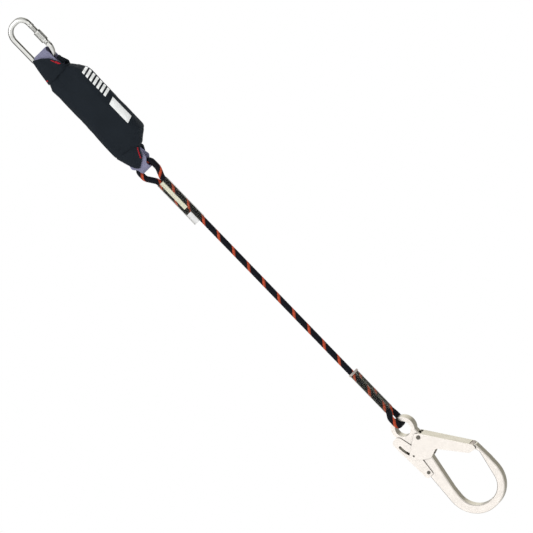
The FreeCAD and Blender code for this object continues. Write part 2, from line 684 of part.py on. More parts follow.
def make_lever():
    """Release lever: cheeks on the shank's faces, a web behind, and a curved slot for the pin."""
    outline = [(-35.8, -4, 8), (-17, -4, 9), (-9.5, -34, 16), (-17, -94, 3),
               (-32.5, -94, 4)]
    room = [(-60, 5, 0), (-60, -14, 0), (-33.3, -14, 0), (-31, -84, 0), (-60, -84, 0),
            (-60, -100, 0), (0, -100, 0), (0, 5, 0)]
    half = size("hook_thickness") / 2 + sheet_gap
    body = make_sheet_channel("hook_lever", outline, room, half,
                              [(lever_pivot, "lever_rivet_radius + running_clearance")])
    stops = []
    for share in (0, 0.5, 1):
        pin = turned_about(guide_pin, gate_pivot, share * size("gate_travel"))
        stops.append(turned_about(pin, lever_pivot, -share * size("lever_travel")))
    slot = new_sketch(body, "pin_slot")
    draw_curved_slot(slot, stops, size("guide_pin_radius") + 0.35)
    pocket(body, slot, "hook_thickness * 2")


def draw_curved_slot(sketch, stops, radius):
    """A round-ended slot whose middle line is the arc through three points."""
    lifted = [Vector(stop.x, stop.y + hook_eye, 0) for stop in stops]
    middle = Part.ArcOfCircle(*lifted)
    centre = middle.Center
    sides = []
    for reach in (radius, -radius):
        sides.append([place + (place - centre).normalize() * reach for place in lifted])
    outer, inner = sides
    for side in sides:
        sketch.addGeometry(Part.ArcOfCircle(*side), False)
    for end, inside in ((0, 1), (2, 1)):
        outward = (lifted[end] - centre).cross(Vector(0, 0, 1)).normalize() * radius
        if (lifted[end] + outward - lifted[inside]).Length < (lifted[end] - lifted[inside]).Length:
            outward = outward * -1
        sketch.addGeometry(Part.ArcOfCircle(outer[end], lifted[end] + outward, inner[end]), False)


def make_hook():
    make_hook_body()
    make_gate()
    make_lever()
    across = "hook_thickness + 4 * ( sheet_play + sheet_thickness ) + sheet_play * 2"
    rivet("gate_pivot_rivet", gate_pivot.x, gate_pivot.y + hook_eye, "gate_rivet_radius", across,
          "gate_rivet_radius * 1.5", "1")
    rivet("lever_pivot_rivet", lever_pivot.x, lever_pivot.y + hook_eye, "lever_rivet_radius",
          "hook_thickness + 4 * sheet_play + 2 * sheet_thickness", "lever_rivet_radius * 1.5", "1")
    pin = disc_y("guide_pin", guide_pin.x, 0, guide_pin.y + hook_eye, "guide_pin_radius",
                 "hook_thickness + 4 * ( sheet_play + sheet_thickness )")
    pin.Label = "guide_pin"
    pieces.append(pin)
    coil("gate_return_spring", 3.3, 4, 3,
         Placement(Vector(gate_pivot.x, 2, gate_pivot.y + hook_eye), Rotation(Vector(1, 0, 0), 90)),
         size("spring_wire_radius"))
    coil("lever_return_spring", 3, 3.6, 3,
         Placement(Vector(-30.6, 0, hook_eye - 70), Rotation(Vector(0, 1, 0), 90)),
         size("spring_wire_radius"))


make_hook()


# ---------------------------------------------------------------- checks and files

doc.recompute()
for item in doc.Objects:
    if "Invalid" in item.State or "Error" in item.State:
        raise ValueError(item.Name + " failed to build")
for piece in pieces:
    if piece.Shape.isNull() or not piece.Shape.isValid():
        raise ValueError(piece.Label + " has no valid shape")

os.makedirs("parts", exist_ok=True)
for piece in pieces:
    piece.Shape.exportStep("parts/" + piece.Label + ".step")
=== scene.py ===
import json
import math

import bpy
from mathutils import Matrix, Vector
from mathutils.bvhtree import BVHTree


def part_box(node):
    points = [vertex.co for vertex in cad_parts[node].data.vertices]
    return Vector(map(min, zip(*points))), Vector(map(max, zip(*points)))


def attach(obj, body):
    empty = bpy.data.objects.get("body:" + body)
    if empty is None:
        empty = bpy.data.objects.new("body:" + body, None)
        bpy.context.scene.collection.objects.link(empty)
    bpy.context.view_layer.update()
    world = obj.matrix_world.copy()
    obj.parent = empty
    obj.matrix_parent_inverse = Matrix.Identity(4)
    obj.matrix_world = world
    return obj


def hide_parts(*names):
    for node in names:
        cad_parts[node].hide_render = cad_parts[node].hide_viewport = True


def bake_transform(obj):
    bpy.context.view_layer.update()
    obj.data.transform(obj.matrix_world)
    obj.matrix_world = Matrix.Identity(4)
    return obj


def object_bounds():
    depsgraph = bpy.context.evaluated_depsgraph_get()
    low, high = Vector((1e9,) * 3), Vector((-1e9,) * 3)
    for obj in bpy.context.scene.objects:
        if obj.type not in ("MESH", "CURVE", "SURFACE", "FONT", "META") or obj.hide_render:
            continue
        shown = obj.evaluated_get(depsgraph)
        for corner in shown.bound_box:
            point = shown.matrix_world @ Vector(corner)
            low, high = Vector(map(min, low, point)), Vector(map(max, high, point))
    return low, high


# Looks for the shock absorbing lanyard. Metres, in the CAD frame: +Z up along the rope,
# the front faces -Y. Steel parts keep their CAD meshes; rope and fabric are built here.

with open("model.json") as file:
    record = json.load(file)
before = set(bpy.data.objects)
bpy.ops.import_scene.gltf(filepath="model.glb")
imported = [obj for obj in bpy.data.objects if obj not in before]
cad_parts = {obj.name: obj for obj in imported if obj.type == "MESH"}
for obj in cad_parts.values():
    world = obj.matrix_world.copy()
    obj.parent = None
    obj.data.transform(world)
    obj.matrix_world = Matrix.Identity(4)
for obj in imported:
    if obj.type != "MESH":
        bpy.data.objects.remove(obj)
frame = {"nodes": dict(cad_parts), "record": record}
cad_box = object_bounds()
MIDDLE_LEVEL = (cad_box[0][2] + cad_box[1][2]) / 2

MM = 0.001
ROPE_RADIUS = 5.5 * MM
ROPE_PITCH = 38 * MM          # length in which one strand goes once round the rope
STRANDS = 8                   # strands each way in the braid
TRACER_START = 10 * MM        # where the orange-red strand first comes round to the front
ROPE_STEP = 0.8 * MM
ROPE_SIDES = 48
BRAID_DEPTH = 0.28 * MM
TAIL_OFFSET = 11.5 * MM       # from the rope's middle to the middle of its turned-back tail
WEBBING = 2.4 * MM            # thickness of the webbing
FABRIC = 1.5 * MM             # thickness of the cuffs' cloth
FLOOR_DROP = 0.5              # from the hook's foot down to the floor
CAMERA_AZIMUTH = math.radians(27)
CAMERA_ROLL = math.radians(44.06)   # how far the lanyard leans over to the left in the picture
CAMERA_DISTANCE = 30.0
VIEW_WIDTH = 0.935            # metres across the picture
VIEW_SHIFT = (0.0312, 0.0028)
VIEW_DIRECTION = Vector((-math.sin(CAMERA_AZIMUTH), math.cos(CAMERA_AZIMUTH), 0))

joints = {joint["name"]: joint for joint in frame["record"]["behaviour"]["joints"]}


def low(node):
    return Vector(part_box(node)[0])


def high(node):
    return Vector(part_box(node)[1])


# ---------------------------------------------------------------- node materials

class Nodes:
    """Short calls for building one material's node tree."""

    def __init__(self, name, color, roughness, metallic=0.0):
        self.material = bpy.data.materials.new(name)
        self.material.use_nodes = True
        self.material.diffuse_color = (*color, 1)
        self.tree = self.material.node_tree
        self.shader = self.tree.nodes["Principled BSDF"]
        self.shader.inputs["Base Color"].default_value = (*color, 1)
        self.shader.inputs["Roughness"].default_value = roughness
        self.shader.inputs["Metallic"].default_value = metallic
        self.place = self.add("ShaderNodeTexCoord")

    def add(self, kind, **settings):
        node = self.tree.nodes.new(kind)
        for key, value in settings.items():
            setattr(node, key, value)
        return node

    def link(self, source, target):
        self.tree.links.new(source, target)

    def math(self, operation, first, second=0.0):
        node = self.add("ShaderNodeMath", operation=operation)
        for socket, value in zip(node.inputs, (first, second)):
            if isinstance(value, (int, float)):
                socket.default_value = value
            else:
                self.link(value, socket)
        return node.outputs[0]

    def noise(self, scale, detail=3.0, stretch=(1, 1, 1)):
        mapping = self.add("ShaderNodeMapping")
        mapping.inputs["Scale"].default_value = stretch
        self.link(self.place.outputs["Object"], mapping.inputs["Vector"])
        node = self.add("ShaderNodeTexNoise")
        node.inputs["Scale"].default_value = scale
        node.inputs["Detail"].default_value = detail
        self.link(mapping.outputs[0], node.inputs["Vector"])
        return node.outputs[0]

    def ramp(self, value, stops):
        node = self.add("ShaderNodeValToRGB")
        while len(node.color_ramp.elements) < len(stops):
            node.color_ramp.elements.new(0.5)
        for element, (position, color) in zip(node.color_ramp.elements, stops):
            element.position = position
            element.color = (*color, 1)
        self.link(value, node.inputs[0])
        return node.outputs[0]

    def mix(self, factor, first, second):
        node = self.add("ShaderNodeMix", data_type="RGBA")
        for socket, value in ((node.inputs[0], factor), (node.inputs[6], first),
                              (node.inputs[7], second)):
            if isinstance(value, tuple):
                socket.default_value = (*value, 1)
            else:
                self.link(value, socket)
        return node.outputs[2]

    def set(self, name, value):
        socket = self.shader.inputs[name]
        if isinstance(value, (int, float, tuple)):
            socket.default_value = value
        else:
            self.link(value, socket)

    def bump(self, height, distance, strength=1.0):
        node = self.add("ShaderNodeBump")
        node.inputs["Distance"].default_value = distance
        node.inputs["Strength"].default_value = strength
        self.link(height, node.inputs["Height"])
        self.link(node.outputs[0], self.shader.inputs["Normal"])

    def weave(self, across, along):
        """Over-and-under height of a plain weave, with yarn widths in metres."""
        axes = self.add("ShaderNodeSeparateXYZ")
        self.link(self.place.outputs["Object"], axes.inputs[0])
        side = self.math("ADD", axes.outputs[0], axes.outputs[1])
        first = self.math("SINE", self.math("MULTIPLY", side, math.pi / across))
        second = self.math("SINE", self.math("MULTIPLY", axes.outputs[2], math.pi / along))
        return self.math("MULTIPLY", first, second)


def steel(name, color, shaded_wall_color, grain, roughness, stretch):
    """Plated or polished steel: bright flats, painted shade on the side walls in place of their
    dark reflections, painted shade in corners, fine grain.
    """
    nodes = Nodes(name, color, roughness, 1.0)
    cloud = nodes.noise(90, 4)
    lines = nodes.noise(grain, 2, stretch)
    darker = tuple(channel * 0.86 for channel in color)
    tint = nodes.mix(cloud, darker, color)
    # Painted shade: faces turned away from ±Y (the side walls) get the darker wall colour, standing
    # in for their dark reflections; faces toward ±Y keep the bright colour.
    facing = nodes.add("ShaderNodeSeparateXYZ")
    nodes.link(nodes.place.outputs["Normal"], facing.inputs[0])
    sideways = nodes.math("ABSOLUTE", facing.outputs[1])
    lit_face_mask = nodes.ramp(sideways, [(0.35, (0, 0, 0)), (0.9, (1, 1, 1))])
    tint = nodes.mix(lit_face_mask, shaded_wall_color, tint)
    # Painted shade: where the occlusion test finds steel close by, in corners, crevices and inside
    # channels, the colour is pushed toward near black.
    corners = nodes.add("ShaderNodeAmbientOcclusion", samples=6)
    corners.inputs["Distance"].default_value = 0.014
    painted_crevice_shade = nodes.ramp(corners.outputs["AO"], [(0.3, (0, 0, 0)), (0.8, (1, 1, 1))])
    nodes.set("Base Color", nodes.mix(painted_crevice_shade, (0.02, 0.018, 0.015), tint))
    rough = nodes.math("ADD", nodes.math("MULTIPLY", cloud, 0.12), roughness - 0.05)
    nodes.set("Roughness", rough)
    height = nodes.math("ADD", cloud, nodes.math("MULTIPLY", lines, 0.08))
    nodes.bump(height, 0.00035, 0.3)
    return nodes.material


def fabric(name, color, across, along, depth, sheen=0.3, variation=0.35):
    """Woven cloth: yarn bump, painted shade in the gaps between yarns, cloudy colour and a soft
    sheen.
    """
    nodes = Nodes(name, color, 0.85)
    height = nodes.weave(across, along)
    cloud = nodes.noise(45, 4)
    pale = tuple(min(1, channel * (1 + variation) + 0.004) for channel in color)
    dark = tuple(channel * (1 - variation) for channel in color)
    body = nodes.mix(cloud, dark, pale)
    # Painted shade: the colour goes dark in the gaps between yarns and keeps the cloth colour on
    # the yarn crowns.
    lit_yarn_crowns = nodes.math("MULTIPLY", nodes.math("ABSOLUTE", height), 0.8)
    nodes.set("Base Color", nodes.mix(nodes.math("SUBTRACT", 1, lit_yarn_crowns), body, dark))
    nodes.set("Sheen Weight", sheen)
    nodes.set("Specular IOR Level", 0.25)
    nodes.set("Sheen Roughness", 0.5)
    nodes.set("Sheen Tint", (*pale, 1))
    fibre = nodes.math("MULTIPLY", nodes.noise(2500, 2), 0.35)
    nodes.bump(nodes.math("ADD", height, fibre), depth, 0.8)
    return nodes.material


def rope_material():
    """Braided sheath: dark strands with one orange-red strand winding round in a helix."""
    nodes = Nodes("rope_sheath_look", (0.012, 0.014, 0.024), 0.7)
    axes = nodes.add("ShaderNodeSeparateXYZ")
    nodes.link(nodes.place.outputs["UV"], axes.inputs[0])
    turns = nodes.math("MULTIPLY", axes.outputs[1], 1 / ROPE_PITCH)
    first = nodes.math("MULTIPLY", nodes.math("ADD", axes.outputs[0], turns), STRANDS)
    second = nodes.math("MULTIPLY", nodes.math("SUBTRACT", axes.outputs[0], turns), STRANDS)
    index = nodes.math("FLOORED_MODULO", nodes.math("FLOOR", first), STRANDS)
    tracer = nodes.math("LESS_THAN", index, 0.5)
    wide = nodes.math("LESS_THAN", nodes.math("FLOORED_MODULO", first, STRANDS), 1.6)
    cells = nodes.math("ADD", nodes.math("FLOOR", first), nodes.math("FLOOR", second))
    under = nodes.math("FLOORED_MODULO", cells, 2)
    shown = nodes.math("MAXIMUM", nodes.math("MULTIPLY", tracer, nodes.math(
        "SUBTRACT", 1, nodes.math("MULTIPLY", under, 0.25))), nodes.math("MULTIPLY", wide, 0.6))
    cloud = nodes.noise(160, 3)
    base = nodes.mix(cloud, (0.002, 0.002, 0.004), (0.006, 0.007, 0.013))
    warm = nodes.mix(cloud, (0.42, 0.05, 0.022), (0.66, 0.11, 0.04))
    nodes.set("Base Color", nodes.mix(shown, base, warm))
    nodes.set("Specular IOR Level", 0.12)
    fine = nodes.math("SINE", nodes.math("MULTIPLY", first, 6 * math.pi))
    nodes.bump(nodes.math("ADD", fine, nodes.noise(2000, 2)), 0.00012, 0.6)
    return nodes.material


def clear_material():
    """Thin clear shrink plastic: nearly invisible face on, glossy, with a few cloudy creases."""
    nodes = Nodes("clear_tube_look", (0.16, 0.16, 0.12), 0.4)
    cloud = nodes.noise(120, 3, (1, 1, 0.25))
    layer = nodes.add("ShaderNodeLayerWeight")
    layer.inputs["Blend"].default_value = 0.35
    edge = nodes.math("MULTIPLY", layer.outputs["Facing"], 0.35)
    nodes.set("Alpha", nodes.math("ADD", edge, 0.05))
    nodes.set("Specular IOR Level", 0.25)
    nodes.set("Roughness", nodes.math("ADD", nodes.math("MULTIPLY", cloud, 0.2), 0.35))
    nodes.bump(cloud, 0.0003, 0.2)
    return nodes.material


def film_material(name, color):
    """Printed film or tape: satin plastic with faint fibres and soft dirt."""
    nodes = Nodes(name, color, 0.45)
    cloud = nodes.noise(140, 4)
    dark = tuple(channel * 0.8 for channel in color)
    nodes.set("Base Color", nodes.mix(cloud, dark, color))
    nodes.set("Roughness", nodes.math("ADD", nodes.math("MULTIPLY", cloud, 0.3), 0.3))
    nodes.bump(nodes.noise(900, 2, (1, 1, 0.2)), 0.00005, 0.5)
    return nodes.material


# The third colour of each steel is the painted shade on its side walls.
POLISHED = steel("polished_steel_look", (0.82, 0.82, 0.8), (0.2, 0.2, 0.18),
                 grain=500, roughness=0.16, stretch=(1, 1, 0.1))
ZINC = steel("zinc_steel_look", (0.97, 0.91, 0.86), (0.24, 0.22, 0.17),
             grain=700, roughness=0.34, stretch=(1, 1, 0.3))
PIN = steel("pin_steel_look", (0.16, 0.15, 0.13), (0.05, 0.05, 0.045),
            grain=700, roughness=0.4, stretch=(1, 1, 1))
SPRING = steel("spring_steel_look", (0.45, 0.45, 0.44), (0.2, 0.2, 0.2),
               grain=900, roughness=0.3, stretch=(1, 1, 1))
ROPE = rope_material()
CLEAR = clear_material()
LABEL = film_material("label_film_look", (0.88, 0.87, 0.68))
PRINT = film_material("print_look", (0.95, 0.97, 0.97))
LILAC = fabric("grey_webbing_look", (0.3, 0.3, 0.45), 1.3 * MM, 0.9 * MM, 0.0004)
COVER = fabric("black_cover_look", (0.007, 0.013, 0.021), 0.55 * MM, 0.55 * MM, 0.0002, 0.04)
STRIP = fabric("closure_strip_look", (0.01, 0.01, 0.012), 0.8 * MM, 1.0 * MM, 0.0005, 0.5)
RED = fabric("red_thread_look", (0.75, 0.02, 0.04), 0.4 * MM, 0.3 * MM, 0.0001)
PALE = fabric("pale_thread_look", (0.62, 0.55, 0.5), 0.5 * MM, 0.4 * MM, 0.0002)
SLOT_LOOKS = {"polished_steel": POLISHED, "zinc_steel": ZINC, "spring_steel": SPRING,
              "grey_webbing": LILAC, "black_cover": COVER, "black_strip": STRIP,
              "red_thread": RED, "rope_sheath": ROPE, "clear_tube": CLEAR,
              "label_film": LABEL, "pale_thread": PALE}
DARK_PINS = ("guide_pin", "gate_pivot_rivet", "lever_pivot_rivet")


def dress_cad_nodes():
    """Give each CAD node the look of its material slot."""
    for part in frame["record"]["subparts"]:
        node = frame["nodes"][part["node"]]
        look = PIN if part["node"] in DARK_PINS else SLOT_LOOKS[part["material_slot"]]
        for place in node.material_slots:
            place.material = look


# ---------------------------------------------------------------- mesh helpers

def new_piece(name, points, faces, look, smooth=True):
    mesh = bpy.data.meshes.new(name)
    mesh.from_pydata([tuple(point) for point in points], [], faces)
    mesh.validate()
    mesh.materials.append(look)
    piece = bpy.data.objects.new(name, mesh)
    bpy.context.scene.collection.objects.link(piece)
    if smooth:
        mesh.shade_smooth()
    return piece


def apply_modifier(piece, kind, **settings):
    modifier = piece.modifiers.new(kind.lower(), kind)
    for key, value in settings.items():
        setattr(modifier, key, value)
    bpy.context.view_layer.objects.active = piece
    bpy.ops.object.modifier_apply(modifier=modifier.name)


def rounded_path(corners, step):
    """Points along straight lines through 2-D corners (u, v, radius), with rounded corners."""
    runs = []
    for index, (u, v, radius) in enumerate(corners):
        here = Vector((u, v))
        if radius == 0:
            runs.append([here])
            continue
        before = (Vector(corners[index - 1][:2]) - here).normalized()
        after = (Vector(corners[index + 1][:2]) - here).normalized()
        half = before.angle(after) / 2
        centre = here + (before + after).normalized() * (radius / math.sin(half))
        start = here + before * (radius / math.tan(half)) - centre
        sweep = start.angle_signed(here + after * (radius / math.tan(half)) - centre)
        count = max(3, round(abs(sweep) * radius / step))
        runs.append([centre + Matrix.Rotation(-sweep * turn / count, 2) @ start
                     for turn in range(count + 1)])
    points = [runs[0][0]]
    for run in runs:
        gap = (run[0] - points[-1]).length
        count = max(1, round(gap / step))
        origin = points[-1]
        points += [origin.lerp(run[0], (turn + 1) / count) for turn in range(count)] if gap else []
        points += run[1:]
    return points


def tube_faces(rings, sides, closed_ends=True):
    faces = []
    for ring in range(rings - 1):
        for side in range(sides):
            after = (side + 1) % sides
            faces.append((ring * sides + side, ring * sides + after,
                          (ring + 1) * sides + after, (ring + 1) * sides + side))
    if closed_ends:
        faces.append(tuple(reversed(range(sides))))
        faces.append(tuple((rings - 1) * sides + side for side in range(sides)))
    return faces


def grid_faces(rows, columns, base=0, flip=False):
    """Faces over a grid of points held row by row, counted from base."""
    faces = []
    for row in range(rows):
        for column in range(columns):
            first = base + row * (columns + 1) + column
            face = (first, first + 1, first + columns + 2, first + columns + 1)
            faces.append(tuple(reversed(face)) if flip else face)
    return faces


def cross_directions(path):
    """The direction across a YZ path, at each of its points."""
    directions = []
    for index in range(len(path)):
        ahead = path[min(index + 1, len(path) - 1)]
        along = (ahead - path[max(index - 1, 0)]).normalized()
        directions.append(Vector((0, along.y, -along.x)))
    return directions


# ---------------------------------------------------------------- rope

def braid_height(turn, length):
    """How far the sheath stands proud at a place round and along the rope, from 0 to 1."""
    first = STRANDS * (turn + length / ROPE_PITCH)
    second = STRANDS * (turn - length / ROPE_PITCH)
    over = (math.floor(first) + math.floor(second)) % 2 == 0
    main, cross = (first, second) if over else (second, first)
    crown = math.sin(math.pi * (main % 1))
    return crown * (0.55 + 0.45 * math.sin(math.pi * (cross % 1)))


def rope_piece(name, centres, normals, start_length):
    """A braided rope along centres, with each centre's two cross directions in normals."""
    points, turns, lengths = [], [], []
    length = start_length + TRACER_START
    for index, (centre, (right, front)) in enumerate(zip(centres, normals)):
        if index:
            length += (centre - centres[index - 1]).length
        for side in range(ROPE_SIDES):
            turn = side / ROPE_SIDES
            radius = ROPE_RADIUS - BRAID_DEPTH * (1 - braid_height(turn, length))
            angle = 2 * math.pi * turn
            points.append(centre + (right * math.cos(angle) + front * math.sin(angle)) * radius)
        lengths.append(length)
    piece = new_piece(name, points, tube_faces(len(centres), ROPE_SIDES), ROPE)
    layer = piece.data.uv_layers.new(name="braid")
    for face in piece.data.polygons:
        sides = [piece.data.loops[loop].vertex_index % ROPE_SIDES for loop in face.loop_indices]
        wraps = len(sides) == 4 and 0 in sides and ROPE_SIDES - 1 in sides
        for loop in face.loop_indices:
            vertex = piece.data.loops[loop].vertex_index
            side = vertex % ROPE_SIDES
            turn = (ROPE_SIDES if wraps and side == 0 else side) / ROPE_SIDES
            layer.data[loop].uv = (turn, lengths[vertex // ROPE_SIDES])
    return piece


def straight_rope(name, top, foot):
    count = round((top - foot) / ROPE_STEP)
    centres = [Vector((0, 0, top + (foot - top) * step / count)) for step in range(count + 1)]
    return rope_piece(name, centres, [(Vector((1, 0, 0)), Vector((0, 1, 0)))] * len(centres), -top)


def planar_rope(name, path, in_front_plane, end_length=None, start_length=None):
    """Rope along a 2-D path, either in the XZ plane or in the YZ plane."""
    if in_front_plane:
        centres = [Vector((u, 0, v)) for u, v in path]
    else:
        centres = [Vector((0, u, v)) for u, v in path]
    normals = []
    for index in range(len(centres)):
        ahead = centres[min(index + 1, len(centres) - 1)]
        along = (ahead - centres[max(index - 1, 0)]).normalized()
        if in_front_plane:
            normals.append((along.cross(Vector((0, 1, 0))), Vector((0, 1, 0))))
        else:
            normals.append((Vector((1, 0, 0)), Vector((1, 0, 0)).cross(along)))
    if start_length is None:
        total = sum((b - a).length for a, b in zip(centres, centres[1:]))
        start_length = end_length - total
    return rope_piece(name, centres, normals, start_length)


def build_rope():
    bends = [joints["rope_bend_%d" % number]["pos_m"][2] for number in range(1, 7)]
    tube_foot = low("upper_shrink_tube").z
    eye_top = joints["rope_eye_swing"]["pos_m"][2]
    neck = high("upper_shrink_tube").z + 5 * MM
    tail_end = tube_foot + 22 * MM
    left, right = -25.8 * MM, 7.8 * MM          # the two legs of the upper eye
    path = rounded_path([(-TAIL_OFFSET, tail_end, 0), (-TAIL_OFFSET, neck, 14 * MM),
                         (left, neck + 19 * MM, 14 * MM), (left, eye_top, 9.5 * MM),
                         (right, eye_top, 9.5 * MM), (right, neck + 17 * MM, 14 * MM),
                         (0, neck, 14 * MM), (0, tube_foot, 0)], ROPE_STEP)
    upper = planar_rope("rope_upper_eye_braid", path, True, end_length=-tube_foot)
    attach(upper, "rope_top")
    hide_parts("rope_upper_eye")
    lower_top = high("lower_shrink_tube").z - 2 * MM
    middles = [(a + b) / 2 for a, b in zip(bends, bends[1:])]
    ends = [tube_foot] + middles + [lower_top]
    for number, level in enumerate(bends):
        piece = straight_rope("rope_braid_%d" % (number + 1), ends[number], ends[number + 1])
        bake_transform(piece)
        if number < 5:
            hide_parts("rope_section_%d" % (number + 1))
    seat = joints["hook_swing"]["pos_m"][2]
    lower_neck = low("lower_shrink_tube").z - 4 * MM
    out = 14.1 * MM                             # each leg of the lower eye, either side
    path = rounded_path([(0, lower_top, 0), (0, lower_neck, 8 * MM),
                         (-out, lower_neck - 10 * MM, 8 * MM), (-out, seat, 6 * MM),
                         (out, seat, 6 * MM), (out, lower_neck - 10 * MM, 14 * MM),
                         (TAIL_OFFSET, lower_neck, 14 * MM),
                         (TAIL_OFFSET, lower_top - 2 * MM, 0)], ROPE_STEP)
    lower = planar_rope("rope_lower_eye_braid", path, False, start_length=-lower_top)
    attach(lower, "rope_bottom")
    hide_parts("rope_lower_eye")


def shrink_tube(node, body, along_y):
    """Clear plastic shrunk round two rope legs: a waisted outline with rippled, flared ends."""
    foot, top = low(node).z, high(node).z
    radius, half = 6.1 * MM, TAIL_OFFSET / 2
    rings, sides = 60, 64
    points = []
    for ring in range(rings + 1):
        share = ring / rings
        level = foot + (top - foot) * share
        ripple = 0.12 * MM * math.sin(share * 47) * math.sin(share * 19)
        flare = 0.35 * MM * (math.exp(-share * 30) + math.exp(-(1 - share) * 30))
        grow = 1 + (ripple + flare) / radius
        for side in range(sides):
            angle = 2 * math.pi * side / sides
            along = math.cos(angle) * (half + radius)
            lobe = max(-half, min(half, along))
            sign = 1 if angle < math.pi else -1
            rise = math.sqrt(max(0, radius ** 2 - (along - lobe) ** 2)) * sign
            waist = 1 - 0.13 * (1 - min(1, abs(along) / half) ** 2)
            out = rise * waist * grow
            points.append((out, along + half, level) if along_y else (along - half, out, level))
    faces = tube_faces(rings + 1, sides, closed_ends=False)
    tube = new_piece(node + "_clear", points, faces, CLEAR)
    apply_modifier(tube, "SOLIDIFY", thickness=0.5 * MM, offset=1)
    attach(tube, body)
    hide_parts(node)


# ---------------------------------------------------------------- fabric parts

def ribbon(name, path, edges):
    """Flat webbing along a YZ path with rounded selvedges; edges holds each width and middle."""
    section = [(-1, 0.25), (-0.97, 0.8), (-0.9, 1), (-0.5, 0.93), (0, 0.9), (0.5, 0.93),
               (0.9, 1), (0.97, 0.8), (1, 0.25)]
    loop = section + [(share, -thick) for share, thick in reversed(section)]
    points = []
    for place, outward, (width, middle) in zip(path, cross_directions(path), edges):
        for share, thick in loop:
            offset = outward * (thick * WEBBING / 2)
            points.append(Vector((middle + share * width / 2, place.x, place.y)) + offset)
    piece = new_piece(name, points, tube_faces(len(path), len(loop)), LILAC)
    apply_modifier(piece, "SUBSURF", levels=1)
    return piece


def smooth_step(low_end, high_end, value):
    share = max(0.0, min(1.0, (value - low_end) / (high_end - low_end)))
    return share * share * (3 - 2 * share)


def hang_from_karabiner(piece):
    """Bake the placement of a piece of the absorber's upper end into its mesh."""
    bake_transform(piece)


def webbing_loop(node, up, half_gap, straight, sewn, widths, middles, widening):
    """A loop with its fold at the top (up = 1) or at the foot (up = -1).

    From the fold, the legs run straight, close in and meet where they are sewn. Widths and
    middles are at the fold and at the seam; widening is where the one grows into the other.
    """
    fold = high(node).z if up > 0 else low(node).z
    stem = low(node).z if up > 0 else high(node).z
    out, tight = half_gap + WEBBING / 2, WEBBING / 2 + 0.3 * MM
    leg_end = fold - up * straight
    seam = fold - up * sewn
    turn = fold - up * WEBBING / 2
    corners = [(-tight, stem, 0), (-tight, seam, 6 * MM), (-out, leg_end, 8 * MM),
               (-out, turn, out * 0.99), (out, turn, out * 0.99), (out, leg_end, 8 * MM),
               (tight, seam, 6 * MM), (tight, stem, 0)]
    path = rounded_path(corners, 1.2 * MM)
    edges = []
    for place in path:
        share = smooth_step(*widening, abs(place.y - fold))
        edges.append((widths[0] + (widths[1] - widths[0]) * share,
                      middles[0] + (middles[1] - middles[0]) * share))
    loop = ribbon(node + "_woven", path, edges)
    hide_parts(node)
    return loop


def build_webbing():
    """Both loops: gathered where they pass round the bar or the rope, wide where they are sewn."""
    upper = webbing_loop("upper_webbing_loop", 1, half_gap=8 * MM, straight=30 * MM,
                         sewn=48 * MM, widths=(31 * MM, 39 * MM), middles=(-1 * MM, -3 * MM),
                         widening=(4 * MM, 12 * MM))
    hang_from_karabiner(upper)
    lower = webbing_loop("lower_webbing_loop", -1, half_gap=7 * MM, straight=21 * MM,
                         sewn=36 * MM, widths=(22 * MM, 38 * MM), middles=(-9 * MM, -9 * MM),
                         widening=(9 * MM, 20 * MM))
    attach(lower, "absorber")


def cover_outline(inset):
    """Rounded outline of the pouch in XZ, from the CAD cover's box."""
    corner_low, corner_high = low("absorber_cover"), high("absorber_cover")
    left, right = corner_low.x + inset, 46 * MM - inset
    foot, top = corner_low.z + inset, corner_high.z + 5 * MM - inset
    corners = [(left + 24 * MM, top, 0), (left + 10 * MM, top, 6 * MM),
               (left + 2.5 * MM, top - 11 * MM, 6 * MM), (left - 1 * MM, foot + 12 * MM, 6 * MM),
               (left + 11 * MM, foot, 8 * MM), (17 * MM, foot, 8 * MM),
               (right, foot + 22 * MM, 8 * MM), (right, top - 34 * MM, 30 * MM),
               (22 * MM, top, 22 * MM), (left + 24 * MM, top, 0)]
    return rounded_path(corners, 3 * MM)[:-1]


def build_cover():
    """The pouch: an outline box, remeshed, puffed by cloth pressure and capped."""
    half = high("absorber_cover").y - 2.5 * MM
    outline = cover_outline(2.5 * MM)
    foot, top = low("absorber_cover").z, high("absorber_cover").z
    points = []
    for level in (-1, 1):
        for u, v in outline:
            near = min(v - foot, top - v)
            depth = half * (0.62 + 0.38 * smooth_step(0, 26 * MM, near))
            points.append(Vector((u, level * depth, v)))
    cover = new_piece("absorber_cover_cloth", points, tube_faces(2, len(outline)), COVER)
    apply_modifier(cover, "TRIANGULATE")
    apply_modifier(cover, "REMESH", mode="VOXEL", voxel_size=4 * MM)
    puff(cover, 4.0, 2.2 * MM)
    apply_modifier(cover, "SUBSURF", levels=1)
    wrinkle(cover)
    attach(cover, "absorber")
    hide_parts("absorber_cover")
    return cover


def puff(piece, pressure, cap):
    """Cloth simulation with inner pressure; no point moves further than the cap."""
    start = [vertex.co.copy() for vertex in piece.data.vertices]
    modifier = piece.modifiers.new("cloth", "CLOTH")
    modifier.settings.use_pressure = True
    modifier.settings.uniform_pressure_force = pressure
    modifier.settings.effector_weights.gravity = 0
    modifier.settings.quality = 5
    scene = bpy.context.scene
    for number in range(1, 21):
        scene.frame_set(number)
    bpy.context.view_layer.objects.active = piece
    bpy.ops.object.modifier_apply(modifier=modifier.name)
    scene.frame_set(1)
    for vertex, before in zip(piece.data.vertices, start):
        move = vertex.co - before
        if move.length > cap:
            vertex.co = before + move.normalized() * cap


def wrinkle(piece):
    """Soft dents and pull lines towards the ends of the pouch."""
    foot, top = low("absorber_cover").z, high("absorber_cover").z
    for vertex in piece.data.vertices:
        place = vertex.co
        near = min(place.z - foot, top - place.z)
        pull = math.exp(-max(0, near) / (22 * MM))
        fold = math.sin(place.x * 330 + place.z * 60) * 0.6 * MM * pull
        dent = math.sin(place.z * 75 + 1) * math.sin(place.x * 110) * 0.5 * MM
        sign = 1 if place.y > 0 else -1
        place.y += sign * (fold + dent) * min(1, abs(place.y) / (8 * MM))


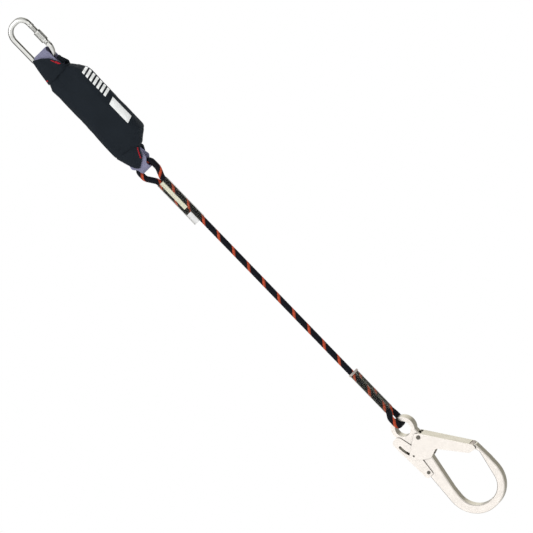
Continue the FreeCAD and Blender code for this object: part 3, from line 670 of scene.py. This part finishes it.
def along_rim(rim, count):
    """Evenly spaced points along a 2-D line of corners given in millimetres."""
    corners = [Vector(corner) * MM for corner in rim]
    lengths = [0]
    for first, second in zip(corners, corners[1:]):
        lengths.append(lengths[-1] + (second - first).length)
    places = []
    for step in range(count + 1):
        want = lengths[-1] * step / count
        run = max(index for index in range(len(corners) - 1) if lengths[index] <= want + 1e-9)
        share = (want - lengths[run]) / (lengths[run + 1] - lengths[run])
        places.append(corners[run].lerp(corners[run + 1], share))
    return places


def cuff_flap(name, sign, base, rim, depths):
    """One fabric flap, front or back: closed at its sewn base, open along its shaped rim."""
    rows, columns = 24, 32
    starts, ends = along_rim(base, columns), along_rim(rim, columns)
    points = []
    for row in range(rows + 1):
        share = row / rows
        for column in range(columns + 1):
            side = 2 * column / columns - 1
            place = starts[column].lerp(ends[column], share)
            depth = depths[0] + (depths[1] - depths[0]) * share
            wrap = (1 - share) ** 1.2
            bow = depth * (1 - (0.2 + 0.7 * wrap) * abs(side) ** (2.5 + 2 * share))
            crease = 0.4 * MM * math.sin(side * 9 + share * 7) * share
            points.append(Vector((place.x, sign * (bow + crease), place.y)))
    upward = rim[0][1] > base[0][1]
    faces = grid_faces(rows, columns, flip=upward != (sign < 0))
    flap = new_piece(name, points, faces, COVER)
    apply_modifier(flap, "SOLIDIFY", thickness=FABRIC, offset=0)
    apply_modifier(flap, "BEVEL", width=0.4 * MM, segments=2)
    return flap


def build_cuffs():
    flaps = {}
    for sign, side in ((-1, "front"), (1, "back")):
        upper = cuff_flap("upper_cuff_" + side, sign, [(-33, -98), (25, -96)],
                          [(-21, -53), (-17.5, -47.5), (-4, -54), (10, -65), (18, -79), (23, -91)],
                          (13 * MM, 12.8 * MM))
        hang_from_karabiner(upper)
        lower = cuff_flap("lower_cuff_" + side, sign, [(-38, -273), (15, -280)],
                          [(-23, -304), (-19, -309), (-13.5, -313.5), (-5, -309), (4, -303),
                           (9, -295), (13, -288)], (12.5 * MM, 11 * MM))
        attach(lower, "absorber")
        flaps["upper_" + side], flaps["lower_" + side] = upper, lower
    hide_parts("upper_cuff")
    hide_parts("lower_cuff")
    return flaps


def seam_band(name, level, half_width, half_depth, middle):
    """A raised seam round the mouth of the pouch."""
    rings, sides = 72, 10
    centres = []
    for ring in range(rings):
        angle = 2 * math.pi * ring / rings
        u = math.copysign(abs(math.cos(angle)) ** 0.6, math.cos(angle))
        v = math.copysign(abs(math.sin(angle)) ** 0.75, math.sin(angle))
        centres.append(Vector((middle + half_width * u, half_depth * v, level)))
    points, faces = [], []
    for ring, centre in enumerate(centres):
        after = (ring + 1) % rings
        along = (centres[after] - centres[ring - 1]).normalized()
        out = along.cross(Vector((0, 0, 1)))
        for side in range(sides):
            angle = 2 * math.pi * side / sides
            points.append(centre + out * (0.8 * MM * math.cos(angle))
                          + Vector((0, 0, 1.2 * MM * math.sin(angle))))
            beyond = (side + 1) % sides
            faces.append((ring * sides + side, after * sides + side, after * sides + beyond,
                          ring * sides + beyond))
    band = new_piece(name, points, faces, COVER)
    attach(band, "absorber")


def capsule(points, faces, start, end, radius):
    """Add a small round-ended thread from start to end to a mesh under construction."""
    along = (end - start).normalized()
    side_one = along.orthogonal().normalized()
    side_two = along.cross(side_one)
    base = len(points)
    for share, swell in ((0, 0.3), (0.15, 0.9), (0.5, 1.0), (0.85, 0.9), (1, 0.3)):
        centre = start.lerp(end, share)
        for step in range(8):
            angle = math.pi * step / 4
            points.append(centre + (side_one * math.cos(angle) + side_two * math.sin(angle))
                          * radius * swell)
    faces += [tuple(base + corner for corner in face) for face in tube_faces(5, 8)]


def surface_point(tree, origin, direction, lift):
    """Where a ray meets a surface, lifted a little off it, or None if it misses."""
    place = tree.ray_cast(origin, direction)[0]
    if place is None:
        return None
    return place - direction * lift


def stitch_row(points, faces, tree, start, end, count, toward, zigzag):
    """Thread stitches laid on a surface between two places, alternating about their line."""
    across = (end - start).cross(toward).normalized() * zigzag
    previous = None
    for step in range(count + 1):
        aim = start.lerp(end, step / count) + across * (1 if step % 2 else -1)
        place = surface_point(tree, aim - toward * 0.06, toward, 0.25 * MM)
        if previous and place:
            capsule(points, faces, previous, place, 0.55 * MM)
        previous = place


def build_stitching(flaps, cover):
    for name, part, rows in (
            ("upper_stitching", "upper_", [((10, -69), (16, -83), 9), ((13, -70), (18, -85), 9),
                                           ((-30, -90), (-25, -90.5), 4)]),
            ("lower_stitching", "lower_", [((11, -284), (2, -302), 11)])):
        points, faces = [], []
        for side, toward in (("front", Vector((0, 1, 0))), ("back", Vector((0, -1, 0)))):
            tree = BVHTree.FromObject(flaps[part + side], bpy.context.evaluated_depsgraph_get())
            for first, last, count in rows:
                start = Vector((first[0] * MM, 0, first[1] * MM))
                end = Vector((last[0] * MM, 0, last[1] * MM))
                stitch_row(points, faces, tree, start, end, count, toward, 1.1 * MM)
        thread = new_piece(name + "_thread", points, faces, RED)
        if part == "upper_":
            hang_from_karabiner(thread)
        else:
            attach(thread, "absorber")
        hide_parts(name)


def printed_marks(cover):
    """Plain white marks down the pouch's right front edge: slanted bars over a solid block."""
    tree = BVHTree.FromObject(cover, bpy.context.evaluated_depsgraph_get())
    corner = high("absorber_cover")
    lift = 0.35 * MM
    rows, columns = 6, 10
    points, faces = [], []

    def patch(level, height, start, end, slant):
        """One mark laid on the cover as the camera sees it."""
        faces.extend(grid_faces(rows, columns, len(points)))
        for row in range(rows + 1):
            for column in range(columns + 1):
                share = column / columns
                offset = start + (end - start) * share
                aim = Vector((corner.x - 7 * MM + offset, -corner.y,
                              level + height * row / rows + slant * share))
                hit = surface_point(tree, aim - VIEW_DIRECTION * 0.08, VIEW_DIRECTION, lift)
                if hit is None:
                    near, normal = tree.find_nearest(aim)[:2]
                    hit = near + normal * lift
                points.append(hit)

    top = corner.z - 34 * MM
    for number in range(7):
        patch(top - number * 9 * MM, 5.4 * MM, 0, 16 * MM, 4 * MM)
    patch(top - 115 * MM, 47 * MM, -4.5 * MM, 10.5 * MM, 5 * MM)
    marks = new_piece("printed_marks", points, faces, PRINT)
    apply_modifier(marks, "SOLIDIFY", thickness=0.25 * MM, offset=0)
    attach(marks, "absorber")


def build_closure_strip(cover):
    """Hook-and-loop strip down the back of the pouch, with a fuzzy face and thin edges."""
    tree = BVHTree.FromObject(cover, bpy.context.evaluated_depsgraph_get())
    corner_low, corner_high = low("closure_strip"), high("closure_strip")
    rows, columns = 90, 14
    toward = Vector((0, -1, 0))
    points = []
    for row in range(rows + 1):
        for column in range(columns + 1):
            across, up = column / columns, row / rows
            aim = Vector((corner_low.x + (corner_high.x - corner_low.x) * across, 0.08,
                          corner_low.z + (corner_high.z - corner_low.z) * up))
            fuzz = 0.12 * MM * math.sin(row * 2.1 + column) * math.sin(column * 2.7)
            lift = 0.35 * MM if column in (0, columns) else 0.8 * MM
            points.append(surface_point(tree, aim, toward, lift + fuzz) or aim)
    faces = grid_faces(rows, columns, flip=True)
    strip = new_piece("closure_strip_fuzz", points, faces, STRIP)
    apply_modifier(strip, "SOLIDIFY", thickness=0.6 * MM, offset=-1)
    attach(strip, "absorber")
    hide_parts("closure_strip")


def side_tab():
    """Small black webbing curl sewn beside the upper webbing loop."""
    middle, foot, crown = 19 * MM, -88 * MM, -72 * MM
    path = rounded_path([(-3 * MM, foot, 0), (-3 * MM, crown, 2.9 * MM),
                         (3 * MM, crown, 2.9 * MM), (3 * MM, foot, 0)], 1 * MM)
    points = []
    for place, outward in zip(path, cross_directions(path)):
        for x, side in ((-2.5, 1), (-2.2, 1), (2.2, 1), (2.5, 1), (2.5, -1), (2.2, -1),
                        (-2.2, -1), (-2.5, -1)):
            points.append(Vector((middle + x * MM, place.x, place.y)) + outward * 0.6 * MM * side)
    tab = new_piece("cuff_side_tab", points, tube_faces(len(path), 8), COVER)
    hang_from_karabiner(tab)


def build_absorber():
    build_webbing()
    cover = build_cover()
    flaps = build_cuffs()
    top, foot = high("absorber_cover").z, low("absorber_cover").z
    seam_band("upper_seam_band", top - 2 * MM, 26 * MM, 12.4 * MM, -3 * MM)
    seam_band("lower_seam_band", foot + 2 * MM, 21 * MM, 11.8 * MM, -7.5 * MM)
    build_stitching(flaps, cover)
    printed_marks(cover)
    build_closure_strip(cover)
    side_tab()


# ---------------------------------------------------------------- floor, light and camera

def build_stage():
    """A wide pale floor below the hanging lanyard, out of the main picture."""
    level, half = cad_box[0][2] - FLOOR_DROP, 10.0
    pale = Nodes("floor_look", (0.9, 0.9, 0.9), 0.8)
    pale.set("Base Color", pale.mix(pale.noise(3, 2), (0.86, 0.86, 0.86), (0.92, 0.92, 0.92)))
    corners = [(-half, -half, level), (half, -half, level), (half, half, level),
               (-half, half, level)]
    floor = new_piece("floor", corners, [(0, 1, 2, 3)], pale.material, smooth=False)


def build_world():
    """White to the camera; as light, bright above, in front and behind, and darker at the sides."""
    world = bpy.data.worlds.new("studio")
    bpy.context.scene.world = world
    world.use_nodes = True
    tree = world.node_tree
    tree.nodes.clear()
    place = tree.nodes.new("ShaderNodeTexCoord")
    axes = tree.nodes.new("ShaderNodeSeparateXYZ")
    depth = tree.nodes.new("ShaderNodeMath")
    depth.operation = "ABSOLUTE"
    either = tree.nodes.new("ShaderNodeMath")
    either.operation = "MAXIMUM"
    ramp = tree.nodes.new("ShaderNodeValToRGB")
    for element, (position, value) in zip(ramp.color_ramp.elements, ((0.3, 0.06), (0.8, 1.0))):
        element.position = position
        element.color = (value, value, value * 0.98, 1)
    rays = tree.nodes.new("ShaderNodeLightPath")
    studio = tree.nodes.new("ShaderNodeBackground")
    white = tree.nodes.new("ShaderNodeBackground")
    white.inputs["Color"].default_value = (1, 1, 1, 1)
    mixed = tree.nodes.new("ShaderNodeMixShader")
    output = tree.nodes.new("ShaderNodeOutputWorld")
    for source, target in (
            (place.outputs["Generated"], axes.inputs[0]), (axes.outputs[1], depth.inputs[0]),
            (depth.outputs[0], either.inputs[0]), (axes.outputs[2], either.inputs[1]),
            (either.outputs[0], ramp.inputs[0]), (ramp.outputs[0], studio.inputs["Color"]),
            (rays.outputs["Is Camera Ray"], mixed.inputs[0]),
            (studio.outputs[0], mixed.inputs[1]), (white.outputs[0], mixed.inputs[2]),
            (mixed.outputs[0], output.inputs[0])):
        tree.links.new(source, target)


def add_light(name, place, power, size):
    """A square area lamp aimed at the lanyard's middle; place is measured from there."""
    data = bpy.data.lights.new(name, "AREA")
    data.energy = power
    data.size = size
    light = bpy.data.objects.new(name, data)
    bpy.context.scene.collection.objects.link(light)
    light.location = Vector((0, 0, MIDDLE_LEVEL)) + Vector(place)
    light.rotation_euler = (-Vector(place)).to_track_quat("-Z", "Y").to_euler()


def build_camera():
    """A long lens, level with the lanyard's middle and rolled so that the lanyard leans."""
    data = bpy.data.cameras.new("camera")
    data.lens = data.sensor_width * CAMERA_DISTANCE / VIEW_WIDTH
    data.shift_x, data.shift_y = VIEW_SHIFT
    camera = bpy.data.objects.new("camera", data)
    bpy.context.scene.collection.objects.link(camera)
    camera.location = Vector((0, 0, MIDDLE_LEVEL)) - VIEW_DIRECTION * CAMERA_DISTANCE
    upright = VIEW_DIRECTION.to_track_quat("-Z", "Y").to_matrix()
    camera.rotation_euler = (upright @ Matrix.Rotation(-CAMERA_ROLL, 3, "Z")).to_euler()
    bpy.context.scene.camera = camera


dress_cad_nodes()
build_rope()
shrink_tube("upper_shrink_tube", "rope_top", along_y=False)
shrink_tube("lower_shrink_tube", "rope_bottom", along_y=True)
build_absorber()
build_stage()
build_world()
add_light("key_light", (-3.6, -5.4, 3.6), power=144, size=3.6)
add_light("fill_light", (5.4, -3.6, 0), power=45, size=4.5)
add_light("back_light", (0.9, 6.0, 2.4), power=108, size=4.5)
bpy.context.scene.view_settings.view_transform = "Standard"
build_camera()
